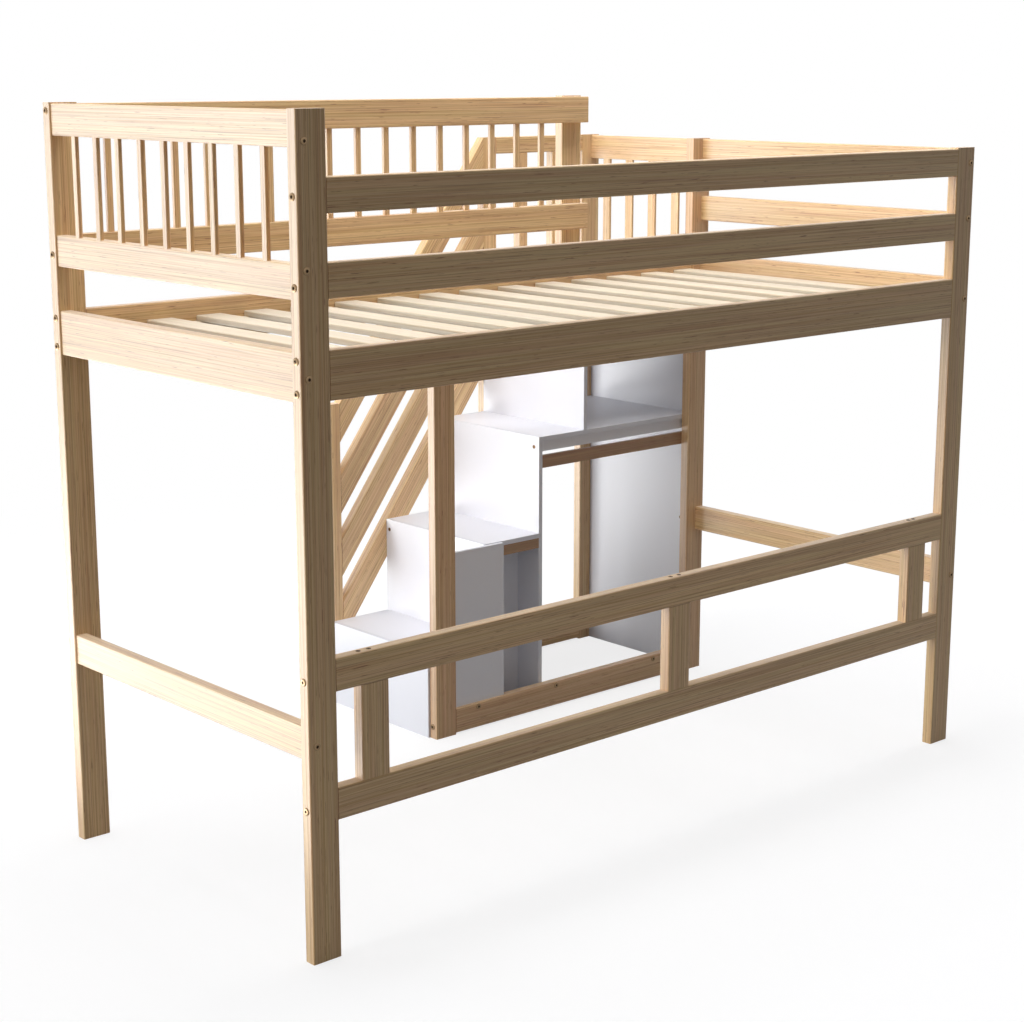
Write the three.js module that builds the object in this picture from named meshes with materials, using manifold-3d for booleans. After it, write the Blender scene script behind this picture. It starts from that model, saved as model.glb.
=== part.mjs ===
// A loft bed in clear pine with a storage staircase in white board along its far side.
// X runs along the bed, Y from the near side to the stair side, Z up. Sizes are in millimetres.
// The model is drawn from the near left foot, and the last lines centre it over its own footprint.

import * as THREE from "three";
import { mergeVertices } from "three/addons/utils/BufferGeometryUtils.js";
import Module from "manifold-3d";

const wasm = await Module();
wasm.setup();

// Overall sizes of the bed and of the stair beside it
const bedLength = 2000;
const bedWidth = 888;
const stairWidth = 406;

// Timber sections
const timberThick = 27;
const postWide = 66;
const railTall = 65;
const bedRailTall = 93;
const easedEdge = 2.5;
const easedSteps = 2;

// Heights, stacked from the floor and from the bed rail
const floorGap = 4;
const endLowRailHeight = 407.5;
const bedRailHeight = 1087;
const guardGap = 93;
const guardUpperGap = 87.5;
const spindleClear = 204.5;
const railDrop = 2.5;
const endRailInset = 4;

// Low guard between the near posts
const lowGuardHeight = 279;
const shortPostTall = 190;
const shortPostInset = 59;

// Spindles of the two high guards
const spindleWide = 15;
const spindleThick = 9;
const spindleEase = 1;
const tenonLength = 10;
const farSpindlePitch = 83;
const farSpindleStart = 72;
const farSpindleRecess = 5;
const leftSpindleCount = 9;
const leftSpindleRecess = 1;

// Way in from the stair, and the post that ends the far guard there
const entryWide = 395;

// Slatted deck
const deckDrop = 35.5;
const slatWide = 65;
const slatThick = 13;
const slatPitch = 127;
const slatStartGap = 54;
const ledgerWide = 20;
const ledgerTall = 25;
const ledgerHousing = 1;
const deckGap = 1;

// Stair carcass in white board
const boardThick = 12;
const stairLength = 986;
const stepRun = 191;
const lastStepRun = 161;
const firstRise = 224;
const secondRise = 255;
const thirdRise = 258;
const platformRise = 256;
const endPanelInset = 12;
const midPostSetback = 5.5;
const apronRecess = 5;
const apronTall = 28;
const backPanelWide = 171.5;
const backPanelInset = 5;

// Brown bars at the back of the stair
const barThick = 10;
const wardrobeBarTall = 33.5;
const wardrobeBarDrop = 10;
const stepBarTall = 27;

// Outer timbers of the stair
const lowerPostWide = 45;
const lowerPostRise = 335;
const lowerPostOverhang = 5;
const upperPostWide = 47;
const upperPostSetback = 2;
const outerRailTall = 45;
const outerSpindleWide = 30;
const outerSpindleInset = 86.5;
const diagonalWide = 62.5;
const diagonalCount = 4;
const topDiagonalPitch = 192;
const diagonalPitch = 173.5;

// Guard at the head of the stair
const endSpindleWide = 27;
const endSpindleThick = 7.5;
const endSpindlePitch = 89.5;
const endSpindleGap = 62;
const endSpindleRecess = 1;

// Two drawers under the second step, which open to the outer side
const bayDepth = 83;
const bayFloorHeight = 42;
const frontGap = 3;
const frontHeadroom = 84;
const shelfSetback = 1;
const sideGap = 2;
const runningGap = 0.5;
const drawerBackGap = 2;
const drawerHeadroom = 20;
const drawerWall = 10;
const drawerBottom = 6;
const fingerRadius = 22;
const fingerSteps = 12;

// Finishes
const pine = new THREE.MeshStandardMaterial({ color: 0xdcbf90, roughness: 0.55, metalness: 0 });
const slatPine = new THREE.MeshStandardMaterial({ color: 0xeadfc6, roughness: 0.7, metalness: 0 });
const brownWood = new THREE.MeshStandardMaterial({ color: 0x9a7044, roughness: 0.6, metalness: 0 });
const whiteBoard = new THREE.MeshStandardMaterial({ color: 0xf2f3f7, roughness: 0.4, metalness: 0 });

// Heights that follow from the stack
const bedRailTop = bedRailHeight + bedRailTall;
const middleRailHeight = bedRailTop + guardGap;
const middleRailTop = middleRailHeight + railTall;
const lowTopRailHeight = middleRailTop + guardUpperGap;
const lowPostTop = lowTopRailHeight + railTall + railDrop;
const highTopRailHeight = middleRailTop + spindleClear;
const highPostTop = highTopRailHeight + railTall + railDrop;

// Spans along X: the posts, the inner length between them, the end rails, and the stair's start
const leftPostX = [0, postWide];
const rightPostX = [bedLength - postWide, bedLength];
const betweenPostsX = [postWide, bedLength - postWide];
const leftEndX = [endRailInset, endRailInset + timberThick];
const rightEndX = [bedLength - endRailInset - timberThick, bedLength - endRailInset];
const entryPostX = [rightPostX[0] - entryWide - postWide, rightPostX[0] - entryWide];
const stairStart = bedLength - stairLength;
const midPostX = [stairStart + midPostSetback, stairStart + midPostSetback + postWide];

// Spans along Y: the near side, the far side, the stair carcass and its outer timbers
const nearY = [0, timberThick];
const farY = [bedWidth - timberThick, bedWidth];
const betweenSidesY = [timberThick, bedWidth - timberThick];
const entryPostY = [bedWidth, bedWidth + timberThick];
const carcassY = [bedWidth, bedWidth + stairWidth];
const outerY = [carcassY[1], carcassY[1] + timberThick];

// The upright boards of the stair and the tops of its steps
const firstBoardX = [stairStart, stairStart + boardThick];
const secondBoardX = [stairStart + stepRun, stairStart + stepRun + boardThick];
const thirdBoardX = [secondBoardX[0] + stepRun, secondBoardX[1] + stepRun];
const fourthBoardX = [thirdBoardX[0] + lastStepRun, thirdBoardX[1] + lastStepRun];
const endPanelX = [bedLength - endPanelInset - boardThick, bedLength - endPanelInset];
const firstTop = firstRise;
const secondTop = firstTop + secondRise;
const thirdTop = secondTop + thirdRise;
const platformTop = thirdTop + platformRise;
const lowerPostHeight = secondTop + lowerPostRise;

// A span that starts at a place and has a size, and the board that lies just under a height
const span = (start, size) => [start, start + size];
const under = (top, size) => [top - size, top];
const middle = (range) => (range[0] + range[1]) / 2;

const model = new THREE.Group();

function place(name, material, geometry, corner) {
  const mesh = new THREE.Mesh(geometry, material);
  mesh.name = name;
  mesh.position.set(...corner);
  model.add(mesh);
}

// A rectangle with its corner at the origin and its four corners rounded
function easedRectangle(wide, tall, radius) {
  const centres = [
    [wide - radius, radius],
    [wide - radius, tall - radius],
    [radius, tall - radius],
    [radius, radius],
  ];
  const points = [];
  centres.forEach(([x, y], corner) => {
    for (let step = 0; step <= easedSteps; step++) {
      const angle = (corner - 1 + step / easedSteps) * (Math.PI / 2);
      points.push(new THREE.Vector2(x + radius * Math.cos(angle), y + radius * Math.sin(angle)));
    }
  });
  return new THREE.Shape(points);
}

// The section lies in the two axes after the one that the timber runs along
const alongX = new THREE.Matrix4().set(0, 0, 1, 0, 1, 0, 0, 0, 0, 1, 0, 0, 0, 0, 0, 1);
const alongY = new THREE.Matrix4().set(0, 1, 0, 0, 0, 0, 1, 0, 1, 0, 0, 0, 0, 0, 0, 1);

// A planed length of timber from the origin: long edges eased, both ends sawn square
function timberGeometry(x, y, z, run, radius = easedEdge) {
  const [wide, deep, tall] = [x, y, z].map((range) => range[1] - range[0]);
  if (run === "x") {
    const shape = easedRectangle(deep, tall, radius);
    return new THREE.ExtrudeGeometry(shape, { depth: wide, bevelEnabled: false }).applyMatrix4(alongX);
  }
  if (run === "y") {
    const shape = easedRectangle(tall, wide, radius);
    return new THREE.ExtrudeGeometry(shape, { depth: deep, bevelEnabled: false }).applyMatrix4(alongY);
  }
  const shape = easedRectangle(wide, deep, radius);
  return new THREE.ExtrudeGeometry(shape, { depth: tall, bevelEnabled: false });
}

function timber(name, x, y, z, run, material = pine) {
  place(name, material, timberGeometry(x, y, z, run), [x[0], y[0], z[0]]);
}

function board(name, x, y, z, material = whiteBoard) {
  const geometry = new THREE.BoxGeometry(x[1] - x[0], y[1] - y[0], z[1] - z[0]);
  place(name, material, geometry, [middle(x), middle(y), middle(z)]);
}

// Solids for the pieces that are glued up or cut out
function solidOf(geometry) {
  geometry.deleteAttribute("normal");
  geometry.deleteAttribute("uv");
  const merged = mergeVertices(geometry);
  const vertProperties = new Float32Array(merged.attributes.position.array);
  const triVerts = new Uint32Array(merged.index.array);
  return new wasm.Manifold(new wasm.Mesh({ numProp: 3, vertProperties, triVerts }));
}

function geometryOf(solid) {
  const mesh = solid.getMesh();
  const geometry = new THREE.BufferGeometry();
  geometry.setAttribute("position", new THREE.BufferAttribute(mesh.vertProperties, 3));
  geometry.setIndex(new THREE.BufferAttribute(mesh.triVerts, 1));
  return geometry;
}

// Sticks given as [x, y, z, run, radius] are glued into one piece, placed at the first stick's corner
function glued(name, sticks, material = pine) {
  const corner = sticks[0].slice(0, 3).map((range) => range[0]);
  const solids = sticks.map(([x, y, z, run, radius]) => {
    const geometry = timberGeometry(x, y, z, run, radius);
    return solidOf(geometry.translate(x[0] - corner[0], y[0] - corner[1], z[0] - corner[2]));
  });
  const whole = solids.reduce((sum, solid) => sum.add(solid));
  place(name, material, geometryOf(whole), corner);
}

// Posts
timber("near_left_post", leftPostX, nearY, [0, highPostTop], "z");
timber("near_right_post", rightPostX, nearY, [0, lowPostTop], "z");
timber("far_left_post", leftPostX, farY, [0, highPostTop], "z");
timber("far_right_post", rightPostX, farY, [0, lowPostTop], "z");
timber("far_middle_post", midPostX, farY, [0, bedRailHeight], "z");
timber("entry_post", entryPostX, entryPostY, [bedRailHeight, highPostTop], "z");

// Near side: bed rail and two guard rails
const bedRailZ = span(bedRailHeight, bedRailTall);
const middleRailZ = span(middleRailHeight, railTall);
const lowTopRailZ = span(lowTopRailHeight, railTall);
timber("near_bed_rail", betweenPostsX, nearY, bedRailZ, "x");
timber("near_guard_middle_rail", betweenPostsX, nearY, middleRailZ, "x");
timber("near_guard_top_rail", betweenPostsX, nearY, lowTopRailZ, "x");

// Near side, low guard: two rails with three short posts between them
const lowGuardBottomZ = span(lowGuardHeight, railTall);
const shortPostZ = span(lowGuardBottomZ[1], shortPostTall);
timber("low_guard_bottom_rail", betweenPostsX, nearY, lowGuardBottomZ, "x");
timber("low_guard_top_rail", betweenPostsX, nearY, span(shortPostZ[1], railTall), "x");
const shortPostStarts = [
  betweenPostsX[0] + shortPostInset,
  middle(betweenPostsX) - postWide / 2,
  betweenPostsX[1] - shortPostInset - postWide,
];
shortPostStarts.forEach((start, index) => {
  timber(`low_guard_short_post_${index + 1}`, span(start, postWide), nearY, shortPostZ, "z");
});

// Left end: low rail, bed end rail, and a guard of two rails with spindles tenoned between them
const highTopRailZ = span(highTopRailHeight, railTall);
const spindleZ = [middleRailTop - tenonLength, highTopRailHeight + tenonLength];
timber("left_low_rail", leftEndX, betweenSidesY, span(endLowRailHeight, railTall), "y");
timber("left_bed_end_rail", leftEndX, betweenSidesY, bedRailZ, "y");
const leftSpindlePitch = (betweenSidesY[1] - betweenSidesY[0]) / (leftSpindleCount + 1);
const leftSticks = [
  [leftEndX, betweenSidesY, middleRailZ, "y", easedEdge],
  [leftEndX, betweenSidesY, highTopRailZ, "y", easedEdge],
];
for (let index = 1; index <= leftSpindleCount; index++) {
  const start = betweenSidesY[0] + index * leftSpindlePitch - spindleWide / 2;
  const depth = span(leftEndX[0] + leftSpindleRecess, spindleThick);
  leftSticks.push([depth, span(start, spindleWide), spindleZ, "z", spindleEase]);
}
glued("left_guard_panel", leftSticks);

// Right end: low rail, bed end rail and two guard rails
timber("right_low_rail", rightEndX, betweenSidesY, span(endLowRailHeight, railTall), "y");
timber("right_bed_end_rail", rightEndX, betweenSidesY, bedRailZ, "y");
timber("right_guard_middle_rail", rightEndX, betweenSidesY, middleRailZ, "y");
timber("right_guard_top_rail", rightEndX, betweenSidesY, lowTopRailZ, "y");

// Far side: low rail, bed rail, and a spindled guard that ends at the entry post
timber("far_low_rail", [midPostX[1], rightPostX[0]], farY, span(floorGap, railTall), "x");
timber("far_bed_rail", betweenPostsX, farY, bedRailZ, "x");
const farGuardX = [postWide, entryPostX[1]];
const farSpindleFirst = postWide + farSpindleStart;
const farSpindleRoom = entryPostX[0] - spindleWide / 2 - farSpindleFirst;
const farSpindleCount = Math.floor(farSpindleRoom / farSpindlePitch) + 1;
const farSticks = [
  [farGuardX, farY, middleRailZ, "x", easedEdge],
  [farGuardX, farY, highTopRailZ, "x", easedEdge],
];
for (let index = 0; index < farSpindleCount; index++) {
  const start = farSpindleFirst + index * farSpindlePitch - spindleWide / 2;
  const depth = span(farY[0] + farSpindleRecess, spindleThick);
  farSticks.push([span(start, spindleWide), depth, spindleZ, "z", spindleEase]);
}
glued("far_guard_panel", farSticks);

// Slatted deck: slats let into two ledgers, which are screwed to the bed rails
const slatZ = under(bedRailTop - deckDrop, slatThick);
const ledgerZ = under(slatZ[0] + ledgerHousing, ledgerTall);
const deckX = [leftEndX[1] + deckGap, rightEndX[0] - deckGap];
const slatY = [betweenSidesY[0] + deckGap, betweenSidesY[1] - deckGap];
const slatFirst = leftEndX[1] + slatStartGap;
const slatCount = Math.floor((deckX[1] - slatFirst - slatWide) / slatPitch) + 1;
const deckSticks = [
  [deckX, span(betweenSidesY[0], ledgerWide), ledgerZ, "x", easedEdge],
  [deckX, under(betweenSidesY[1], ledgerWide), ledgerZ, "x", easedEdge],
];
for (let index = 0; index < slatCount; index++) {
  deckSticks.push([span(slatFirst + index * slatPitch, slatWide), slatY, slatZ, "y", easedEdge]);
}
glued("slat_deck", deckSticks, slatPine);

// Stair carcass: upright boards from the floor, with the treads held between them
const treadOf = (top) => under(top, boardThick);
board("step_1_side", firstBoardX, carcassY, [0, firstTop]);
board("step_1_tread", [firstBoardX[1], secondBoardX[0]], carcassY, treadOf(firstTop));
board("step_2_side", secondBoardX, carcassY, [0, secondTop]);
board("step_2_tread", [secondBoardX[1], thirdBoardX[0]], carcassY, treadOf(secondTop));
board("step_3_side", thirdBoardX, carcassY, [0, thirdTop]);
board("shelf_board", [thirdBoardX[1], endPanelX[0]], carcassY, treadOf(thirdTop));
board("platform_riser", fourthBoardX, carcassY, [thirdTop, platformTop]);
board("platform_board", [fourthBoardX[1], endPanelX[0]], carcassY, treadOf(platformTop));
board("end_panel", endPanelX, carcassY, [0, platformTop]);

// Stiffeners at the bed side of the carcass
const apronZ = under(thirdTop - boardThick, apronTall);
const apronY = span(bedWidth + apronRecess, boardThick);
board("shelf_apron", [thirdBoardX[1], endPanelX[0]], apronY, apronZ);
const wardrobeBarZ = under(apronZ[0] - wardrobeBarDrop, wardrobeBarTall);
const wardrobeBarX = [thirdBoardX[1], endPanelX[0]];
board("wardrobe_bar", wardrobeBarX, span(bedWidth, barThick), wardrobeBarZ, brownWood);
const stepBarZ = under(secondTop - boardThick, stepBarTall);
const bayX = [secondBoardX[1], thirdBoardX[0]];
board("step_2_bar", bayX, span(bedWidth, barThick), stepBarZ, brownWood);
const backPanelY = under(bedWidth - backPanelInset, boardThick);
const backPanelZ = [floorGap + railTall, secondTop];
board("stair_back_panel", span(midPostX[1], backPanelWide), backPanelY, backPanelZ);

// Outer timbers: three posts, two rails with upright spindles, and the low rail
const lowerPostX = span(firstBoardX[0] - lowerPostOverhang, lowerPostWide);
const upperPostX = span(fourthBoardX[0] + upperPostSetback, upperPostWide);
const outerGuardX = [upperPostX[1], rightPostX[0]];
const outerTopZ = under(lowPostTop, outerRailTall);
const toeRailZ = span(platformTop - boardThick, outerRailTall);
timber("stair_lower_post", lowerPostX, outerY, [0, lowerPostHeight], "z");
timber("stair_upper_post", upperPostX, outerY, [0, lowPostTop], "z");
timber("stair_corner_post", rightPostX, outerY, [0, lowPostTop], "z");
timber("stair_low_rail", outerGuardX, outerY, span(floorGap, railTall), "x");
timber("stair_toe_rail", outerGuardX, outerY, toeRailZ, "x");
timber("stair_top_rail", outerGuardX, outerY, outerTopZ, "x");
const outerSpindleZ = [toeRailZ[1], outerTopZ[0]];
const leftOuterX = span(outerGuardX[0] + outerSpindleInset, outerSpindleWide);
const rightOuterX = under(outerGuardX[1] - outerSpindleInset, outerSpindleWide);
timber("stair_spindle_1", leftOuterX, outerY, outerSpindleZ, "z");
timber("stair_spindle_2", rightOuterX, outerY, outerSpindleZ, "z");

// Four slanted slats beside the steps: level boards sheared to the slope, so their ends stay plumb
const diagonalX = [lowerPostX[1], upperPostX[0]];
const slope = (lowPostTop - lowerPostHeight) / (diagonalX[1] - diagonalX[0]);
const diagonalTall = diagonalWide * Math.hypot(1, slope);
const lean = new THREE.Matrix4().set(1, 0, 0, 0, 0, 1, 0, 0, slope, 0, 1, 0, 0, 0, 0, 1);
const diagonalTop = (index) => {
  const drop = index === 0 ? 0 : topDiagonalPitch + (index - 1) * diagonalPitch;
  return lowerPostHeight - drop;
};
for (let index = 0; index < diagonalCount; index++) {
  const upright = under(diagonalTop(index), diagonalTall);
  const geometry = timberGeometry(diagonalX, outerY, upright, "x").applyMatrix4(lean);
  const name = `stair_slanted_slat_${diagonalCount - index}`;
  place(name, pine, geometry, [diagonalX[0], outerY[0], upright[0]]);
}

// Guard at the head of the stair: two rails between the posts with spindles tenoned into them
const endTopZ = lowTopRailZ;
const endBottomZ = span(platformTop, railTall);
const endSticks = [
  [rightEndX, carcassY, endBottomZ, "y", easedEdge],
  [rightEndX, carcassY, endTopZ, "y", easedEdge],
];
const endSpindleRoom = carcassY[1] - carcassY[0] - endSpindleGap - endSpindleWide;
const endSpindleCount = Math.floor(endSpindleRoom / endSpindlePitch) + 1;
for (let index = 0; index < endSpindleCount; index++) {
  const start = carcassY[0] + endSpindleGap + index * endSpindlePitch;
  const upright = [endBottomZ[1] - tenonLength, endTopZ[0] + tenonLength];
  const depth = span(rightEndX[0] + endSpindleRecess, endSpindleThick);
  endSticks.push([depth, span(start, endSpindleWide), upright, "z", spindleEase]);
}
glued("stair_end_guard", endSticks);

// Drawer bay under the second step: its back, floor and shelf
const bayBackY = span(bedWidth + bayDepth, boardThick);
const frontY = under(carcassY[1], boardThick);
const bayShelfY = [bayBackY[1], frontY[0] - shelfSetback];
const frontsTop = secondTop - boardThick - frontHeadroom;
const frontTall = (frontsTop - bayFloorHeight - frontGap) / 2;
const lowerFrontZ = span(bayFloorHeight, frontTall);
const upperFrontZ = span(lowerFrontZ[1] + frontGap, frontTall);
const bayFloorZ = span(bayFloorHeight, boardThick);
const bayShelfZ = span(lowerFrontZ[1] + frontGap / 2 - boardThick / 2, boardThick);
board("drawer_bay_back", bayX, bayBackY, [0, secondTop - boardThick]);
board("drawer_bay_floor", bayX, bayShelfY, bayFloorZ);
board("drawer_bay_shelf", bayX, bayShelfY, bayShelfZ);

// A drawer is an open box that slides on the board under it, and a front with a finger notch
const drawerX = [bayX[0] + sideGap, bayX[1] - sideGap];
const drawerY = [bayBackY[1] + drawerBackGap, frontY[0]];
const drawerTall = bayShelfZ[0] - drawerHeadroom - bayFloorZ[1] - runningGap;

function drawerBox(name, floorTop) {
  const size = [drawerX[1] - drawerX[0], drawerY[1] - drawerY[0], drawerTall];
  const outer = new THREE.BoxGeometry(...size);
  const hollow = new THREE.BoxGeometry(size[0] - 2 * drawerWall, size[1] - 2 * drawerWall, drawerTall);
  hollow.translate(0, 0, drawerBottom);
  const box = solidOf(outer).subtract(solidOf(hollow));
  const centre = [middle(drawerX), middle(drawerY), floorTop + runningGap + drawerTall / 2];
  place(name, whiteBoard, geometryOf(box), centre);
}

function drawerFront(name, frontZ) {
  const wide = drawerX[1] - drawerX[0];
  const points = [[wide, 0], [0, 0], [0, frontTall]];
  for (let step = 0; step <= fingerSteps; step++) {
    const angle = (step / fingerSteps) * Math.PI;
    const x = wide / 2 - fingerRadius * Math.cos(angle);
    points.push([x, frontTall - fingerRadius * Math.sin(angle)]);
  }
  points.push([wide, frontTall]);
  const shape = new THREE.Shape(points.map(([x, z]) => new THREE.Vector2(z, x)));
  const geometry = new THREE.ExtrudeGeometry(shape, { depth: boardThick, bevelEnabled: false });
  place(name, whiteBoard, geometry.applyMatrix4(alongY), [drawerX[0], frontY[0], frontZ[0]]);
}

drawerBox("lower_drawer_box", bayFloorZ[1]);
drawerFront("lower_drawer_front", lowerFrontZ);
drawerBox("upper_drawer_box", bayShelfZ[1]);
drawerFront("upper_drawer_front", upperFrontZ);

// The origin is at floor level under the middle of the whole piece
model.position.set(-bedLength / 2, -outerY[1] / 2, 0);

export default model;
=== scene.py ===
"""Finishes, fasteners and studio for a loft bed with storage stairs.

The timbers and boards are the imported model's own solids. This script gives each one its
finish, adds the bolt and screw heads, and sets up the floor, the lamps and the camera.
Lengths are in metres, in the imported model's frame: X along the bed, Z up.
"""

import math

import bpy
import numpy as np
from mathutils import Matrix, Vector


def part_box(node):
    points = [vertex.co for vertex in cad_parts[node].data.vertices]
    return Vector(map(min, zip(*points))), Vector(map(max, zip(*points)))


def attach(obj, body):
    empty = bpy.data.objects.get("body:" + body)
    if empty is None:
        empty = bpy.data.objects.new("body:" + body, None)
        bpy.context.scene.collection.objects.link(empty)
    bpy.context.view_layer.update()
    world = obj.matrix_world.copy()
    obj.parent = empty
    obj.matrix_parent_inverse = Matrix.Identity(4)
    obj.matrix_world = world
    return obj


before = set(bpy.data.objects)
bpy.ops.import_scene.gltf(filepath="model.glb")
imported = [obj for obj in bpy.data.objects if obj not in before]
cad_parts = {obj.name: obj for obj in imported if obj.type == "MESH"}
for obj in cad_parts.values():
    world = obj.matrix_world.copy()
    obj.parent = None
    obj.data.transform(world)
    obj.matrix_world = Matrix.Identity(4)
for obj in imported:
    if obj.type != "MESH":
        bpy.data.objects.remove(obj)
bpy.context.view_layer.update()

bl_info = {
    "name": "Loft bed with storage stairs",
    "version": (1, 0, 0),
    "blender": (4, 5, 0),
    "location": "View3D > Sidebar > Loft bed",
    "description": "Finishes, fasteners and studio for a loft bed with storage stairs",
    "category": "Object",
}

AXES = "xyz"

# The photo's own viewpoint, solved from its vanishing points: metres and degrees
CAMERA_PLACE = (-3.0915, -3.5697, 1.680)
CAMERA_TURN = (77.530, 0, -41.778)

# A low, wide sun from the left that reaches under the deck
SUN_DIRECTION = (0.96, -0.12, -0.2)
# Soft lamps on everything, and broad cards on the back left that are seen only as a shine:
# they whiten the faces towards the left. Each has the setting that holds its power, its place,
# the point it looks at, its width and height, and the rays that see it.
LAMPS = {
    "side_lamp": ("side_power", (-5.2, 4.4, 1.6), (0, 0.2, 1.0), (4.8, 3.1), "diffuse"),
    "top_lamp": ("top_power", (0, 0.4, 4.2), (0, 0.2, 1.0), (3.0, 1.8), "diffuse"),
    "front_lamp": ("front_power", (0, -0.5, 3.4), (0, 0.3, 1.0), (3.0, 0.4), "diffuse"),
    "back_lamp": ("back_power", (1.0, 6.0, 3.2), (0, 0.2, 1.0), (4.0, 2.5), "diffuse"),
    "right_lamp": ("right_power", (6.0, 0.5, 2.2), (0, 0.0, 0.9), (3.0, 3.0), "diffuse"),
    "side_card": ("side_card_power", (-5.2, 4.4, 1.6), (0, 0.2, 1.0), (4.8, 3.1), "glossy"),
    "floor_card": ("floor_card_power", (-1.4, 2.2, 0.03), (-1.4, 2.2, 1.0), (3.4, 1.6), "glossy"),
    "foot_card": ("foot_card_power", (-2.1, 0.55, 0.03), (-2.1, 0.55, 1.0), (1.9, 1.6), "glossy"),
}

# Timbers that stand or lie alone: the grain follows the longest side of each
TIMBERS = (
    "near_left_post",
    "near_right_post",
    "far_left_post",
    "far_right_post",
    "far_middle_post",
    "entry_post",
    "near_bed_rail",
    "near_guard_middle_rail",
    "near_guard_top_rail",
    "low_guard_bottom_rail",
    "low_guard_top_rail",
    "low_guard_short_post_1",
    "low_guard_short_post_2",
    "low_guard_short_post_3",
    "left_low_rail",
    "left_bed_end_rail",
    "right_low_rail",
    "right_bed_end_rail",
    "right_guard_middle_rail",
    "right_guard_top_rail",
    "far_low_rail",
    "far_bed_rail",
    "stair_lower_post",
    "stair_upper_post",
    "stair_corner_post",
    "stair_low_rail",
    "stair_toe_rail",
    "stair_top_rail",
    "stair_spindle_1",
    "stair_spindle_2",
)
# Timbers that the photo shows darker and redder than the rest
# Their darker, redder tone is painted shade: it stands for the dim light and warm bounce under the
# deck
SHADE_PAINTED_TIMBERS = ("far_middle_post", "far_right_post", "far_low_rail")
SLANTED_SLATS = (
    "stair_slanted_slat_1",
    "stair_slanted_slat_2",
    "stair_slanted_slat_3",
    "stair_slanted_slat_4",
)

# Spindled guards, with the axis that their two rails run along
GUARDS = {"left_guard_panel": "y", "far_guard_panel": "x", "stair_end_guard": "y"}

BARS = ("wardrobe_bar", "step_2_bar")
BOARDS = (
    "step_1_side",
    "step_1_tread",
    "step_2_side",
    "step_2_tread",
    "step_3_side",
    "shelf_board",
    "platform_riser",
    "platform_board",
    "end_panel",
    "shelf_apron",
    "stair_back_panel",
    "drawer_bay_back",
    "drawer_bay_floor",
    "drawer_bay_shelf",
    "lower_drawer_front",
    "upper_drawer_front",
)
DRAWER_BOXES = ("lower_drawer_box", "upper_drawer_box")


def linear(code):
    """An sRGB hex colour as linear red, green, blue and alpha."""
    srgb = np.array([int(code[i : i + 2], 16) for i in (0, 2, 4)]) / 255
    channels = np.where(srgb <= 0.04045, srgb / 12.92, ((srgb + 0.055) / 1.055) ** 2.4)
    return (*channels.tolist(), 1.0)


def colour(name, code, text):
    """A colour property with its default as an sRGB hex value."""
    return bpy.props.FloatVectorProperty(
        name=name, description=text, default=linear(code), size=4, min=0, max=1, subtype="COLOR"
    )


def length(name, metres, text):
    """A length property in metres."""
    return bpy.props.FloatProperty(
        name=name, description=text, default=metres, min=0, unit="LENGTH", precision=5
    )


def watts(name, power, text):
    """A lamp's power as a property."""
    return bpy.props.FloatProperty(
        name=name, description=text, default=power, min=0, subtype="POWER"
    )


class LOFTBED_PG_wood(bpy.types.PropertyGroup):
    """Colours and grain of the pine."""

    early_wood: colour("Early wood", "E8C58F", "Pale wood between the growth rings")
    late_wood: colour("Late wood", "BD8A50", "Darker wood of the growth rings")
    resin: colour("Resin", "8A4222", "Resin lines and pin knots")
    slat_early: colour("Slat early wood", "DACFB9", "Pale wood of the unfinished slats")
    slat_late: colour("Slat late wood", "C9B28C", "Growth rings of the unfinished slats")
    bar_early: colour("Bar early wood", "A57C50", "Pale wood of the brown bars")
    bar_late: colour("Bar late wood", "7B5331", "Growth rings of the brown bars")
    ring_spacing: length("Ring spacing", 0.0027, "Distance between growth rings on a planed face")
    ring_length: length("Ring length", 0.6, "How far a ring's line runs before it wanders")
    fibre_spacing: length("Fibre spacing", 0.0011, "Distance between the fine fibre lines")
    fibre_length: length("Fibre length", 0.05, "How far a fibre line runs")
    vein_width: length("Vein width", 0.0019, "Width of the long resin veins")
    vein_length: length("Vein length", 0.28, "How far a resin vein runs")
    dash_width: length("Dash width", 0.002, "Width of the short resin pockets and pin knots")
    dash_length: length("Dash length", 0.05, "Length of the short resin pockets and pin knots")
    band_width: length("Band width", 0.013, "Width of the redder and yellower bands")
    band_length: length("Band length", 0.5, "Length of the redder and yellower bands")
    board_width: length("Board width", 0.05, "Width over which the wood's tone changes")
    board_length: length("Board length", 1.1, "Length over which the wood's tone changes")
    rail_height: length("Rail height", 0.065, "Height of the rails of a spindled guard")
    slat_thickness: length("Slat thickness", 0.013, "Thickness of the deck's slats")


class LOFTBED_PG_board(bpy.types.PropertyGroup):
    """Colours and surface of the white boards."""

    face: colour("Melamine face", "E7E9F1", "Cool white melamine facing")
    edge: colour("Edge band", "DCDFE8", "White edge band on the boards' narrow sides")
    grain: length("Facing grain", 0.0016, "Distance between the dimples pressed into the facing")
    patch: length("Facing patch", 0.35, "Size of the faint patches in the facing's gloss")


class LOFTBED_PG_fasteners(bpy.types.PropertyGroup):
    """Sizes and colours of the bolt and screw heads."""

    brass: colour("Brass", "A3896A", "Dull brass plate on the heads")
    screw: colour("Screw plate", "7A5F45", "Aged brass plate on the screw heads")
    # Painted shade: the socket colour is dark to stand for the shade inside the sockets and
    # recesses
    socket: colour("Socket", "4A3828", "Dark inside of the sockets")
    bolt_radius: length("Bolt radius", 0.0075, "Radius of a bolt head")
    bolt_height: length("Bolt height", 0.0022, "How far a bolt head stands out")
    socket_radius: length("Socket radius", 0.0029, "Distance from a socket's centre to its flats")
    screw_radius: length("Screw radius", 0.005, "Radius of a screw head")
    screw_height: length("Screw height", 0.0007, "How far a screw head stands out")


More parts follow.
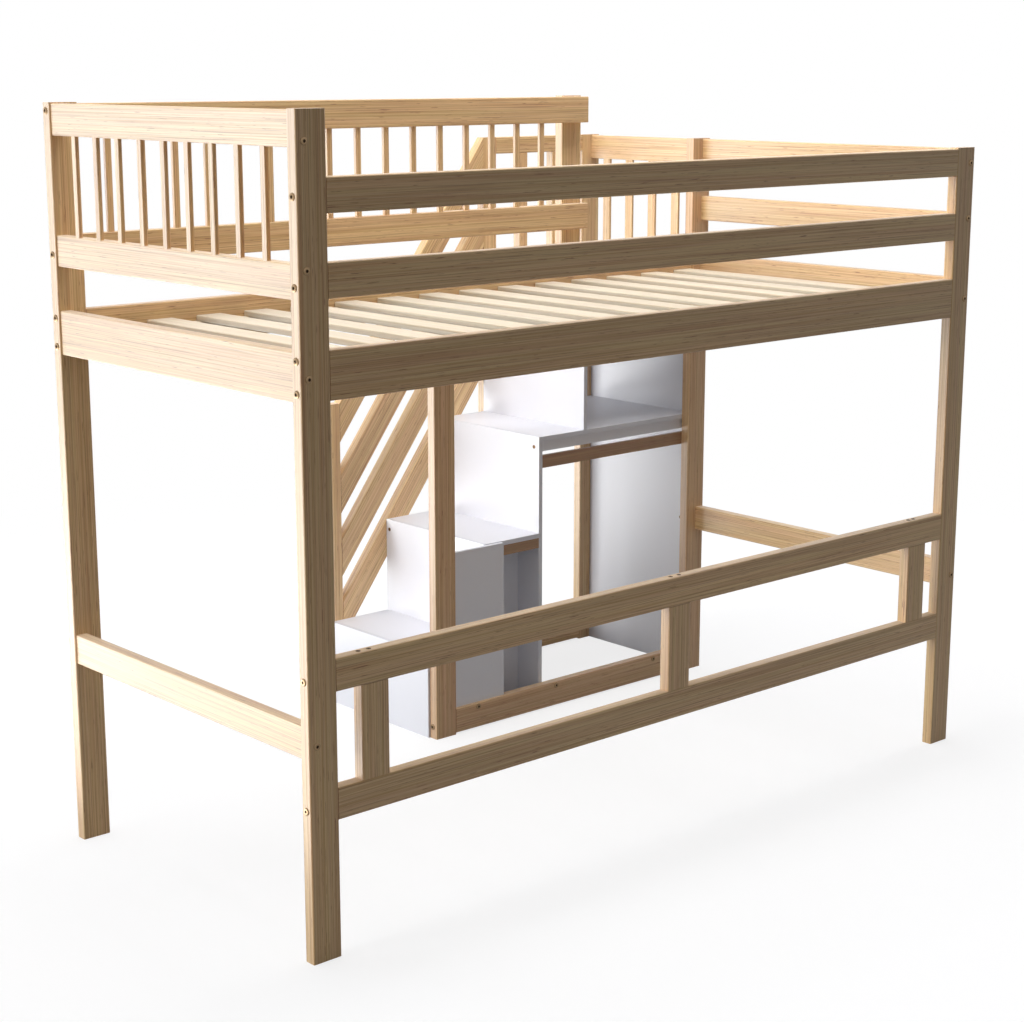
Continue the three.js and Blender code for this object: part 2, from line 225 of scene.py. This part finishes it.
class LOFTBED_PG_studio(bpy.types.PropertyGroup):
    """Floor, lamps and camera."""

    floor_radius: length("Floor radius", 14.0, "Radius of the round floor")
    shadow_reach: length("Shadow reach", 3.4, "Distance at which the floor turns plain white")
    floor: colour("Floor", "8F8F91", "Paper floor")
    lens: bpy.props.FloatProperty(
        name="Focal length", description="Focal length in millimetres", default=70.52, min=1
    )
    sun_strength: bpy.props.FloatProperty(
        name="Left sun", description="Light on the faces towards the left", default=1.5, min=0
    )
    sun_width: bpy.props.FloatProperty(
        name="Sun width", description="Softness of its shadows", default=0.4, subtype="ANGLE"
    )
    side_power: watts("Side lamp", 130, "Lights the left from further back")
    top_power: watts("Top lamp", 91, "Lights the treads and the slats")
    front_power: watts("Front lamp", 32, "Lights the inner faces of the far side")
    back_power: watts("Back lamp", 45, "Lights the sides away from the camera")
    right_power: watts("Right lamp", 105, "Lights the right end")
    side_card_power: watts("Side card", 660, "Shine on the upper faces towards the left")
    floor_card_power: watts("Floor card", 185, "Shine on the lower faces towards the left")
    foot_card_power: watts("Foot card", 58, "Shine on the left low rail and the posts' feet")
    world_strength: bpy.props.FloatProperty(
        name="World", description="Strength of the plain surrounding light", default=0.23, min=0
    )
    world_share: bpy.props.FloatProperty(
        name="White world in reflections",
        description="How much of the world's white reflections show",
        default=0.6,
        min=0,
        max=1,
    )
    floor_share: bpy.props.FloatProperty(
        name="White floor in reflections",
        description="How much of the floor's white reflections show",
        default=0.35,
        min=0,
        max=1,
    )
    floor_lift: bpy.props.FloatProperty(
        name="Floor lift",
        description="White added to the floor near the bed, over which its shadow shows",
        default=0.75,
        min=0,
        max=1,
    )


def add(tree, kind, inputs=None, **settings):
    """Adds a node, sets its settings, and fills its inputs by name or number.

    An input takes a number, a colour, a socket, or a node, which gives its first live output.
    """
    node = tree.nodes.new(kind)
    for name, value in settings.items():
        setattr(node, name, value)
    for name, value in (inputs or {}).items():
        if isinstance(value, bpy.types.Node):
            value = next(socket for socket in value.outputs if socket.enabled)
        if isinstance(value, bpy.types.NodeSocket):
            tree.links.new(value, node.inputs[name])
        else:
            node.inputs[name].default_value = value
    return node


def empty_material(name):
    """A node material with nothing but an output, and its tree."""
    material = bpy.data.materials.new(name)
    material.use_nodes = True
    material.node_tree.nodes.clear()
    return material, material.node_tree


def dress(node, material):
    """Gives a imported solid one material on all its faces."""
    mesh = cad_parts[node].data
    mesh.materials.clear()
    mesh.materials.append(material)


def along(tree, point, axis):
    """The point with the grain's axis first: (x, y, z) turned so that the run comes first."""
    first = AXES.index(axis)
    parts = add(tree, "ShaderNodeSeparateXYZ", {0: point}).outputs
    turned = {i: parts[(first + i) % 3] for i in range(3)}
    return add(tree, "ShaderNodeCombineXYZ", turned)


def stretched(tree, grain, run, across):
    """Noise whose spots are as long as run and as wide as across, in metres."""
    scale = (1 / run, 1 / across, 1 / across)
    place = add(tree, "ShaderNodeMapping", {"Vector": grain, "Scale": scale})
    settings = {"Vector": place, "Scale": 1.0, "Detail": 2.0, "Roughness": 0.55}
    return add(tree, "ShaderNodeTexNoise", settings)


def faces_along(tree, normal, axis):
    """How squarely a face looks along an axis: the size of that part of its normal."""
    part = add(tree, "ShaderNodeSeparateXYZ", {0: normal}).outputs[AXES.index(axis)]
    return add(tree, "ShaderNodeMath", {0: part}, operation="ABSOLUTE")


def planed_pine(
    name, wood, early, late, grain_of, ends=None, tone=(1.0, 0.5), finish=(0.55, 0.7), resinous=1.0
):
    """Planed pine: fine growth rings and fibres, thin resin veins, and short resin pockets.

    grain_of gives the point with the grain's axis first. Every line is noise stretched along
    the grain, and a vein or a pocket is where its noise peaks. Ends is the axis whose end
    faces show darker end grain. Tone holds the brightness and the hue, of which 0.5 leaves
    the colours as they are and less is redder. Finish holds the roughness and the weight of
    the lacquer, and resinous is how strongly veins and pockets show.
    """
    roughness, lacquer = finish
    bright, hue = tone
    material, tree = empty_material(name)
    place = add(tree, "ShaderNodeTexCoord").outputs
    grain = grain_of(tree, place["Object"])

    rings = stretched(tree, grain, wood.ring_length, wood.ring_spacing)
    # Pine's fibres are some 0.03 mm apart: too fine to show, so they are drawn 1.1 mm apart
    fibres = stretched(tree, grain, wood.fibre_length, wood.fibre_spacing)
    bands = stretched(tree, grain, wood.band_length, wood.band_width)
    boards = stretched(tree, grain, wood.board_length, wood.board_width)
    veins = stretched(tree, grain, wood.vein_length, wood.vein_width)
    dashes = stretched(tree, grain, wood.dash_length, wood.dash_width)

    share = add(tree, "ShaderNodeMapRange", {0: rings, 1: 0.38, 2: 0.66, 3: 0.0, 4: 0.7})
    surface = add(tree, "ShaderNodeMix", {0: share, 6: early, 7: late}, data_type="RGBA")
    fine = add(tree, "ShaderNodeMapRange", {0: fibres, 1: 0.3, 2: 0.7, 3: 0.93, 4: 1.055})
    surface = add(tree, "ShaderNodeHueSaturation", {"Color": surface, "Value": fine})
    turn = {0: bands, 1: 0.35, 2: 0.65, 3: hue - 0.006, 4: hue + 0.006}
    turn = add(tree, "ShaderNodeMapRange", turn)
    surface = add(tree, "ShaderNodeHueSaturation", {"Color": surface, "Hue": turn})
    shade = {0: boards, 1: 0.3, 2: 0.7, 3: 0.9 * bright, 4: 1.06 * bright}
    shade = add(tree, "ShaderNodeMapRange", shade)
    surface = add(tree, "ShaderNodeHueSaturation", {"Color": surface, "Value": shade})

    vein = {0: veins, 1: 0.56, 2: 0.69, 3: 0.0, 4: 0.52 * resinous}
    vein = add(tree, "ShaderNodeMapRange", vein)
    dash = {0: dashes, 1: 0.65, 2: 0.71, 3: 0.0, 4: 0.85 * resinous}
    dash = add(tree, "ShaderNodeMapRange", dash)
    marks = add(tree, "ShaderNodeMath", {0: vein, 1: dash}, operation="MAXIMUM")
    marked = {0: marks, 6: surface, 7: wood.resin}
    surface = add(tree, "ShaderNodeMix", marked, data_type="RGBA")

    if ends:
        facing = faces_along(tree, place["Normal"], ends)
        sawn = add(tree, "ShaderNodeMapRange", {0: facing, 1: 0.9, 2: 0.95, 3: 0.0, 4: 0.45})
        surface = add(tree, "ShaderNodeMix", {0: sawn, 6: surface, 7: late}, data_type="RGBA")

    relief = add(tree, "ShaderNodeMath", {0: share, 1: fibres}, operation="ADD")
    relief = {"Height": relief, "Strength": 0.35, "Distance": 0.0002}
    gloss = {0: rings, 1: 0.36, 2: 0.66, 3: roughness, 4: roughness + 0.08}
    finished = {
        "Base Color": surface,
        "Roughness": add(tree, "ShaderNodeMapRange", gloss),
        "Normal": add(tree, "ShaderNodeBump", relief),
        "IOR": 1.5,
        "Coat Weight": lacquer,
        "Coat Roughness": 0.42,
        "Sheen Weight": 0.5,
        "Sheen Roughness": 0.5,
    }
    shader = add(tree, "ShaderNodeBsdfPrincipled", finished)
    add(tree, "ShaderNodeOutputMaterial", {"Surface": shader})
    return material


def white_melamine(name, board, thin):
    """White melamine facing on chipboard, with an edge band round the narrow sides.

    Thin is the axis of the board's thickness. A face that looks along it is facing, the
    others are edge band.
    """
    material, tree = empty_material(name)
    place = add(tree, "ShaderNodeTexCoord").outputs
    facing = faces_along(tree, place["Normal"], thin)
    share = add(tree, "ShaderNodeMapRange", {0: facing, 1: 0.4, 2: 0.6})
    choice = {0: share, 6: board.edge, 7: board.face}
    surface = add(tree, "ShaderNodeMix", choice, data_type="RGBA")

    # The facing's dimples are some 0.3 mm apart: drawn coarser, 1.6 mm, so that they show
    dimples = stretched(tree, place["Object"], board.grain, board.grain)
    patches = stretched(tree, place["Object"], board.patch, board.patch)
    tint = add(tree, "ShaderNodeMapRange", {0: patches, 1: 0.3, 2: 0.7, 3: 0.985, 4: 1.01})
    gloss = add(tree, "ShaderNodeMapRange", {0: patches, 1: 0.3, 2: 0.7, 3: 0.5, 4: 0.56})
    relief = {"Height": dimples, "Strength": 0.15, "Distance": 0.00008}
    finished = {
        "Base Color": add(tree, "ShaderNodeHueSaturation", {"Color": surface, "Value": tint}),
        "Roughness": gloss,
        "Normal": add(tree, "ShaderNodeBump", relief),
        "IOR": 1.5,
        "Coat Weight": 0.7,
        "Coat Roughness": 0.42,
    }
    shader = add(tree, "ShaderNodeBsdfPrincipled", finished)
    add(tree, "ShaderNodeOutputMaterial", {"Surface": shader})
    return material


def longest_axis(node):
    """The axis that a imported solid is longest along."""
    low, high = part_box(node)
    return AXES[int(np.argmax(np.array(high - low)))]


def thinnest_axis(node):
    """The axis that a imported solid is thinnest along."""
    low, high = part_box(node)
    return AXES[int(np.argmin(np.array(high - low)))]


class LOFTBED_OT_timbers(bpy.types.Operator):
    """Gives the posts and rails clear-lacquered pine with the grain along each"""

    bl_idname = "loft_bed.timbers"
    bl_label = "Posts and rails"

    def execute(self, context):
        wood = context.scene.loft_bed_wood
        # Clear satin lacquer over planed pine: pale, fine-lined, softly glossy. Brightness and
        # hue of three plain tones, which take turns, and of one painted shade tone, darker and
        # redder
        tones = ((0.97, 0.5), (1.03, 0.5), (1.0, 0.5), (0.88, 0.493))
        painted_shade_tone = len(tones) - 1
        made = {}
        for index, node in enumerate(TIMBERS):
            axis = longest_axis(node)
            tone = painted_shade_tone if node in SHADE_PAINTED_TIMBERS else index % painted_shade_tone
            if (axis, tone) not in made:
                made[axis, tone] = planed_pine(
                    f"lacquered_pine_{axis}_{tone + 1}",
                    wood,
                    wood.early_wood,
                    wood.late_wood,
                    lambda tree, point, axis=axis: along(tree, point, axis),
                    ends=axis,
                    tone=tones[tone],
                )
            dress(node, made[axis, tone])
        return {"FINISHED"}


class LOFTBED_OT_slanted_slats(bpy.types.Operator):
    """Gives the slanted slats beside the stair pine with the grain along the slope"""

    bl_idname = "loft_bed.slanted_slats"
    bl_label = "Slanted slats"

    def execute(self, context):
        wood = context.scene.loft_bed_wood
        low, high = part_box(SLANTED_SLATS[0])
        next_low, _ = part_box(SLANTED_SLATS[1])
        corners = np.array([v.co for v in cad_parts[SLANTED_SLATS[0]].data.vertices])
        # The slope of the top edge, from its lowest point, at the left end, to the highest
        within = 0.001
        left_top = corners[corners[:, 0] < low.x + within, 2].max()
        angle = math.atan2(high.z - left_top, high.x - low.x)

        def on_slope(tree, point):
            """Turns the slope level, so that the grain's axis comes first."""
            turn = {"Vector": point, "Rotation": (0, angle, 0)}
            return add(tree, "ShaderNodeMapping", turn)

        # The same lacquered pine, sawn from boards whose rings run up the slope
        material = planed_pine(
            "lacquered_pine_slanted", wood, wood.early_wood, wood.late_wood, on_slope
        )
        for node in SLANTED_SLATS:
            dress(node, material)
        return {"FINISHED"}


class LOFTBED_OT_guards(bpy.types.Operator):
    """Gives the spindled guards pine with the grain along the rails and up the spindles"""

    bl_idname = "loft_bed.guards"
    bl_label = "Spindled guards"

    def execute(self, context):
        wood = context.scene.loft_bed_wood
        for node, axis in GUARDS.items():
            low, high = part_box(node)
            start, end = low.z + wood.rail_height, high.z - wood.rail_height

            def by_height(tree, point, axis=axis, start=start, end=end):
                """The rails' axis first outside the spindles' heights, and Z first within them."""
                level = add(tree, "ShaderNodeSeparateXYZ", {0: point}).outputs[2]
                over = {0: level, 1: (start + end) / 2, 2: (end - start) / 2}
                spindle = add(tree, "ShaderNodeMath", over, operation="COMPARE")
                choice = {0: spindle, 4: along(tree, point, axis), 5: along(tree, point, "z")}
                return add(tree, "ShaderNodeMix", choice, data_type="VECTOR")

            # The same lacquered pine: each stick is cut along its own grain
            material = planed_pine(
                f"lacquered_pine_{node}", wood, wood.early_wood, wood.late_wood, by_height
            )
            dress(node, material)
        return {"FINISHED"}


class LOFTBED_OT_deck(bpy.types.Operator):
    """Gives the slats and their ledgers bare planed pine"""

    bl_idname = "loft_bed.deck"
    bl_label = "Slatted deck"

    def execute(self, context):
        wood = context.scene.loft_bed_wood
        _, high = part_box("slat_deck")
        ledger_top = high.z - wood.slat_thickness

        def by_height(tree, point):
            """Y first in the slats, and X first in the ledgers below them."""
            level = add(tree, "ShaderNodeSeparateXYZ", {0: point}).outputs[2]
            below = {0: level, 1: ledger_top}
            under = add(tree, "ShaderNodeMath", below, operation="LESS_THAN")
            choice = {0: under, 4: along(tree, point, "y"), 5: along(tree, point, "x")}
            return add(tree, "ShaderNodeMix", choice, data_type="VECTOR")

        # Planed and left bare: paler than the frame and nearly matt
        material = planed_pine(
            "bare_pine_slats",
            wood,
            wood.slat_early,
            wood.slat_late,
            by_height,
            finish=(0.6, 0.0),
            resinous=0.3,
        )
        dress("slat_deck", material)
        return {"FINISHED"}


class LOFTBED_OT_bars(bpy.types.Operator):
    """Gives the two bars at the back of the stair darker brown pine"""

    bl_idname = "loft_bed.bars"
    bl_label = "Brown bars"

    def execute(self, context):
        wood = context.scene.loft_bed_wood
        # Darker brown colours that leave the rings showing, under the same lacquer
        material = planed_pine(
            "brown_stained_pine",
            wood,
            wood.bar_early,
            wood.bar_late,
            lambda tree, point: along(tree, point, "x"),
            ends="x",
        )
        for node in BARS:
            dress(node, material)
        return {"FINISHED"}


class LOFTBED_OT_boards(bpy.types.Operator):
    """Gives the stair's boards and the drawers white melamine"""

    bl_idname = "loft_bed.boards"
    bl_label = "White boards"

    def execute(self, context):
        board = context.scene.loft_bed_board
        # Melamine facing pressed on chipboard: cool white, even, with a soft broad gloss
        made = {axis: white_melamine(f"white_melamine_{axis}", board, axis) for axis in AXES}
        for node in BOARDS:
            dress(node, made[thinnest_axis(node)])
        for node in DRAWER_BOXES:
            dress(node, made["z"])
        return {"FINISHED"}


def heads_on_faces(name, profile, socket, places, materials):
    """Round heads with a socket, one on each place.

    The head is a profile of (radius, height) carried round an axis. Inside the socket the
    radius at angle t is the distance to the socket's outline, given by socket(t). A place is
    a point and the direction that its face looks in.
    """
    turns, floor_thickness = 24, 0.0002
    angle = np.arange(turns) * 2 * np.pi / turns
    outline = socket(angle)
    radii = [np.full(turns, radius) for radius, _ in profile]
    heights = [height for _, height in profile]
    floor = heights[0] + floor_thickness
    radii += [outline, outline, np.zeros(turns)]
    heights += [heights[-1], floor, floor]
    ring = np.stack(
        [
            np.array(radii) * np.cos(angle),
            np.array(radii) * np.sin(angle),
            np.repeat(np.array(heights)[:, None], turns, axis=1),
        ],
        axis=-1,
    ).reshape(-1, 3)

    points = np.array([point for point, _ in places])
    normal = np.array([direction for _, direction in places], float)
    side = np.where(np.abs(normal[:, 2:]) > 0.5, (1.0, 0.0, 0.0), (0.0, 0.0, 1.0))
    other = np.cross(normal, side)
    corners = (
        points[:, None]
        + ring[None, :, 0, None] * side[:, None]
        + ring[None, :, 1, None] * other[:, None]
        + ring[None, :, 2, None] * normal[:, None]
    )

    rows = len(heights)
    row, turn = np.meshgrid(np.arange(rows - 1), np.arange(turns), indexing="ij")
    here, after = row * turns + turn, row * turns + (turn + 1) % turns
    quads = np.stack([here, after, after + turns, here + turns], axis=-1).reshape(-1, 4)
    offsets = np.arange(len(places)) * rows * turns
    faces = (quads[None] + offsets[:, None, None]).reshape(-1, 4)
    mesh = bpy.data.meshes.new(name)
    mesh.from_pydata(corners.reshape(-1, 3).tolist(), [], faces.tolist())
    in_socket = np.tile(row.reshape(-1) >= len(profile), len(places))
    for material in materials:
        mesh.materials.append(material)
    mesh.polygons.foreach_set("material_index", in_socket.astype(np.int32))
    mesh.update()
    mesh.validate()
    piece = bpy.data.objects.new(name, mesh)
    bpy.context.scene.collection.objects.link(piece)
    return piece


def plated_head(name, tint, roughness):
    """Plated steel with the faint marks that turning leaves."""
    material, tree = empty_material(name)
    place = add(tree, "ShaderNodeTexCoord").outputs["Object"]
    # Turning marks are under 0.1 mm apart: drawn coarser, 0.8 mm, so that they show
    spacing = 0.0008
    marks = stretched(tree, place, spacing, spacing)
    gloss = {0: marks, 1: 0.3, 2: 0.7, 3: roughness - 0.06, 4: roughness + 0.08}
    shade = add(tree, "ShaderNodeMapRange", {0: marks, 1: 0.3, 2: 0.7, 3: 0.92, 4: 1.04})
    finished = {
        "Base Color": add(tree, "ShaderNodeHueSaturation", {"Color": tint, "Value": shade}),
        "Metallic": 1.0,
        "Roughness": add(tree, "ShaderNodeMapRange", gloss),
    }
    shader = add(tree, "ShaderNodeBsdfPrincipled", finished)
    add(tree, "ShaderNodeOutputMaterial", {"Surface": shader})
    return material


def on_face(node, axis, sign, *offsets):
    """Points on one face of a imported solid, each offset from the face's lowest corner."""
    low, high = (np.array(corner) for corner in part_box(node))
    at = AXES.index(axis)
    direction = np.zeros(3)
    direction[at] = sign
    corner = low.copy()
    corner[at] = high[at] if sign > 0 else low[at]
    others = [i for i in range(3) if i != at]
    places = []
    for offset in offsets:
        point = corner.copy()
        point[others] += offset
        places.append((point, direction))
    return places


class LOFTBED_OT_bolt_heads(bpy.types.Operator):
    """Sets the brass-coloured bolt heads that hold the rails to the posts"""

    bl_idname = "loft_bed.bolt_heads"
    bl_label = "Bolt heads"

    def execute(self, context):
        sizes = context.scene.loft_bed_fasteners
        # Heights above the floor, read off the photo where each rail meets its post
        near_rails = (0.3085, 0.563, 1.104, 1.164, 1.296, 1.457)
        far_rails = (1.104, 1.164, 1.297, 1.593)
        left_ends = (0.437, 1.131, 1.326, 1.554)
        right_ends = (0.436, 1.130, 1.324, 1.456)
        # Across a post: the middle of its edge, and the distance in from its outer edge
        middle = 0.0135
        near_left_in, near_right_in = 0.0175, 0.0515
        # Along the far low rail, near its top edge, where the stair's boards are bolted on
        board_runs, board_height = (0.0745, 0.3505, 0.7225), 0.0555
        # Near the foot of the middle post, across its edge and up from the floor
        middle_post_foot = (0.016, 0.031)
        places = (
            on_face("near_left_post", "x", -1, *[(middle, z) for z in near_rails])
            + on_face("near_right_post", "x", 1, *[(middle, z) for z in near_rails])
            + on_face("far_left_post", "x", -1, *[(middle, z) for z in far_rails])
            + on_face("near_left_post", "y", -1, *[(near_left_in, z) for z in left_ends])
            + on_face("near_right_post", "y", -1, *[(near_right_in, z) for z in right_ends])
            + on_face("far_left_post", "y", 1, *[(near_left_in, z) for z in left_ends])
            + on_face("far_middle_post", "x", -1, middle_post_foot)
            + on_face("far_low_rail", "y", -1, *[(x, board_height) for x in board_runs])
        )
        rim, top = sizes.bolt_radius, sizes.bolt_height
        profile = [
            (rim, 0.0),
            (rim, 0.35 * top),
            (0.95 * rim, 0.65 * top),
            (0.8 * rim, 0.9 * top),
            (0.6 * rim, top),
            (0.5 * rim, top),
        ]
        flats = sizes.socket_radius

        def hexagon(angle):
            """The flats' distance over the cosine of the angle from the nearest flat's middle."""
            sector = np.pi / 3
            return flats / np.cos((angle + sector / 2) % sector - sector / 2)

        # Brass plate on steel, satin, with a hex socket whose dark colour is painted shade
        brass = plated_head("brass_plated_head", sizes.brass, roughness=0.34)
        painted_shade_plate = plated_head("dark_socket", sizes.socket, roughness=0.6)
        piece = heads_on_faces("bolt_heads", profile, hexagon, places, (brass, painted_shade_plate))
        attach(piece, "frame")
        return {"FINISHED"}


class LOFTBED_OT_screw_heads(bpy.types.Operator):
    """Sets the countersunk screw heads in the stair's boards and in the low guard"""

    bl_idname = "loft_bed.screw_heads"
    bl_label = "Screw heads"

    def execute(self, context):
        sizes = context.scene.loft_bed_fasteners
        # Two into the end of each short post, along the middle of the rail's top face
        pairs = (0.062, 0.087, 0.916, 0.942, 1.753, 1.773)
        middle = 0.0135
        # In the boards, across and up from a face's lowest corner, read off the photo
        step_2_head, step_3_head, end_panel_head = (0.393, 0.452), (0.020, 0.709), (0.036, 0.431)
        places = (
            on_face("step_2_side", "x", -1, step_2_head)
            + on_face("step_3_side", "x", -1, step_3_head)
            + on_face("end_panel", "x", -1, end_panel_head)
            + on_face("low_guard_top_rail", "z", 1, *[(x, middle) for x in pairs])
        )
        rim, top = sizes.screw_radius, sizes.screw_height
        profile = [(rim, 0.0), (rim, 0.6 * top), (0.9 * rim, top), (0.62 * rim, top)]
        # Radius of the recess's hub and length of its arms, as shares of the screw's radius
        hub, arm = 0.26, 0.3

        def cross(angle):
            """Four arms: the radius swings between a hub and the arms' tips."""
            return rim * (hub + arm * np.abs(np.cos(2 * angle)) ** 3)

        # Darker, aged brass plate, with a cross recess whose dark colour is painted shade
        brass = plated_head("brass_plated_screw", sizes.screw, roughness=0.36)
        painted_shade_plate = plated_head("dark_recess", sizes.socket, roughness=0.6)
        piece = heads_on_faces("screw_heads", profile, cross, places, (brass, painted_shade_plate))
        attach(piece, "frame")
        return {"FINISHED"}


def place_light(data, direction, rays):
    """Points a light in a direction and hides it from the camera and from the other rays."""
    piece = bpy.data.objects.new(data.name, data)
    piece.rotation_euler = direction.to_track_quat("-Z", "Y").to_euler()
    piece.visible_camera = False
    piece.visible_diffuse = rays == "diffuse"
    piece.visible_glossy = rays == "glossy"
    bpy.context.scene.collection.objects.link(piece)
    return piece


def lamp(name, place, target, size, power, rays):
    """A soft rectangular lamp that looks at a target, seen by diffuse or by glossy rays."""
    data = bpy.data.lights.new(name, "AREA")
    data.shape = "RECTANGLE"
    data.size, data.size_y = size
    data.energy = power
    place_light(data, Vector(target) - Vector(place), rays).location = place


def white_seen(tree, glossy_share):
    """One for rays that see the background as plain white, and a share for reflections."""
    rays = add(tree, "ShaderNodeLightPath").outputs
    through = {0: rays["Is Camera Ray"], 1: rays["Is Transmission Ray"]}
    direct = add(tree, "ShaderNodeMath", through, operation="MAXIMUM")
    weighed = {0: rays["Is Glossy Ray"], 1: glossy_share}
    glossy = add(tree, "ShaderNodeMath", weighed, operation="MULTIPLY")
    return add(tree, "ShaderNodeMath", {0: direct, 1: glossy}, operation="MAXIMUM")


class LOFTBED_OT_studio(bpy.types.Operator):
    """Lays the floor and sets the lamps, the surrounding light and the camera"""

    bl_idname = "loft_bed.studio"
    bl_label = "Studio"

    def execute(self, context):
        scene = context.scene
        studio = scene.loft_bed_studio
        scene.view_settings.view_transform = "Standard"

        # Round paper floor: a soft shadow near the bed, and plain white further out
        turns = 64
        angle = np.arange(turns) * 2 * np.pi / turns
        radius = studio.floor_radius
        rim = np.stack([radius * np.cos(angle), radius * np.sin(angle), np.zeros(turns)], axis=1)
        mesh = bpy.data.meshes.new("floor")
        mesh.from_pydata(rim.tolist(), [], [list(range(turns))])
        floor = bpy.data.objects.new("floor", mesh)
        scene.collection.objects.link(floor)
        material, tree = empty_material("white_paper_floor")
        place = add(tree, "ShaderNodeTexCoord").outputs["Object"]
        far = add(tree, "ShaderNodeVectorMath", {0: place}, operation="LENGTH")
        fade_start = 0.55 * studio.shadow_reach
        reach = {0: far, 1: fade_start, 2: studio.shadow_reach}
        plain = add(tree, "ShaderNodeMapRange", reach)
        seen = white_seen(tree, studio.floor_share)
        lift = {0: seen, 1: studio.floor_lift}
        lift = add(tree, "ShaderNodeMath", lift, operation="MULTIPLY")
        lift = add(tree, "ShaderNodeEmission", {"Strength": lift})
        paper = add(tree, "ShaderNodeBsdfDiffuse", {"Color": studio.floor})
        lifted = add(tree, "ShaderNodeAddShader", {0: paper, 1: lift})
        white = add(tree, "ShaderNodeEmission", {"Strength": seen})
        mixed = add(tree, "ShaderNodeMixShader", {0: plain, 1: lifted, 2: white})
        add(tree, "ShaderNodeOutputMaterial", {"Surface": mixed})
        mesh.materials.append(material)

        world = bpy.data.worlds.new("studio")
        world.use_nodes = True
        scene.world = world
        tree = world.node_tree
        tree.nodes.clear()
        seen = white_seen(tree, studio.world_share)
        level = {0: seen, 1: 0.0, 2: 1.0, 3: studio.world_strength, 4: 1.0}
        strength = add(tree, "ShaderNodeMapRange", level)
        sky = add(tree, "ShaderNodeBackground", {"Color": (1, 1, 1, 1), "Strength": strength})
        add(tree, "ShaderNodeOutputWorld", {"Surface": sky})

        sun = bpy.data.lights.new("left_sun", "SUN")
        sun.energy, sun.angle = studio.sun_strength, studio.sun_width
        place_light(sun, Vector(SUN_DIRECTION), "diffuse")
        for name, (power, place, target, size, rays) in LAMPS.items():
            lamp(name, place, target, size, getattr(studio, power), rays)

        data = bpy.data.cameras.new("camera")
        data.sensor_width = 36
        data.lens = studio.lens
        camera = bpy.data.objects.new("camera", data)
        camera.location = CAMERA_PLACE
        camera.rotation_euler = [math.radians(degrees) for degrees in CAMERA_TURN]
        scene.collection.objects.link(camera)
        scene.camera = camera
        return {"FINISHED"}


OPERATORS = (
    LOFTBED_OT_timbers,
    LOFTBED_OT_slanted_slats,
    LOFTBED_OT_guards,
    LOFTBED_OT_deck,
    LOFTBED_OT_bars,
    LOFTBED_OT_boards,
    LOFTBED_OT_bolt_heads,
    LOFTBED_OT_screw_heads,
    LOFTBED_OT_studio,
)
SETTINGS = {
    "loft_bed_wood": LOFTBED_PG_wood,
    "loft_bed_board": LOFTBED_PG_board,
    "loft_bed_fasteners": LOFTBED_PG_fasteners,
    "loft_bed_studio": LOFTBED_PG_studio,
}


class LOFTBED_PT_panel(bpy.types.Panel):
    """Sizes, colours and steps of the loft bed"""

    bl_label = "Loft bed"
    bl_idname = "LOFTBED_PT_panel"
    bl_space_type = "VIEW_3D"
    bl_region_type = "UI"
    bl_category = "Loft bed"

    def draw(self, context):
        for name, group in SETTINGS.items():
            box = self.layout.box()
            for field in group.__annotations__:
                box.prop(getattr(context.scene, name), field)
        for operator in OPERATORS:
            self.layout.operator(operator.bl_idname)


def register():
    """Registers the classes and hangs the settings on the scene."""
    for group in SETTINGS.values():
        bpy.utils.register_class(group)
    for name, group in SETTINGS.items():
        setattr(bpy.types.Scene, name, bpy.props.PointerProperty(type=group))
    for operator in OPERATORS:
        bpy.utils.register_class(operator)
    bpy.utils.register_class(LOFTBED_PT_panel)


def unregister():
    """Undoes register."""
    bpy.utils.unregister_class(LOFTBED_PT_panel)
    for operator in reversed(OPERATORS):
        bpy.utils.unregister_class(operator)
    for name, group in reversed(SETTINGS.items()):
        delattr(bpy.types.Scene, name)
        bpy.utils.unregister_class(group)


def main():
    """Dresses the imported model."""
    register()
    bpy.ops.loft_bed.timbers()
    bpy.ops.loft_bed.slanted_slats()
    bpy.ops.loft_bed.guards()
    bpy.ops.loft_bed.deck()
    bpy.ops.loft_bed.bars()
    bpy.ops.loft_bed.boards()
    bpy.ops.loft_bed.bolt_heads()
    bpy.ops.loft_bed.screw_heads()
    bpy.ops.loft_bed.studio()


if __name__ == "__main__":
    main()
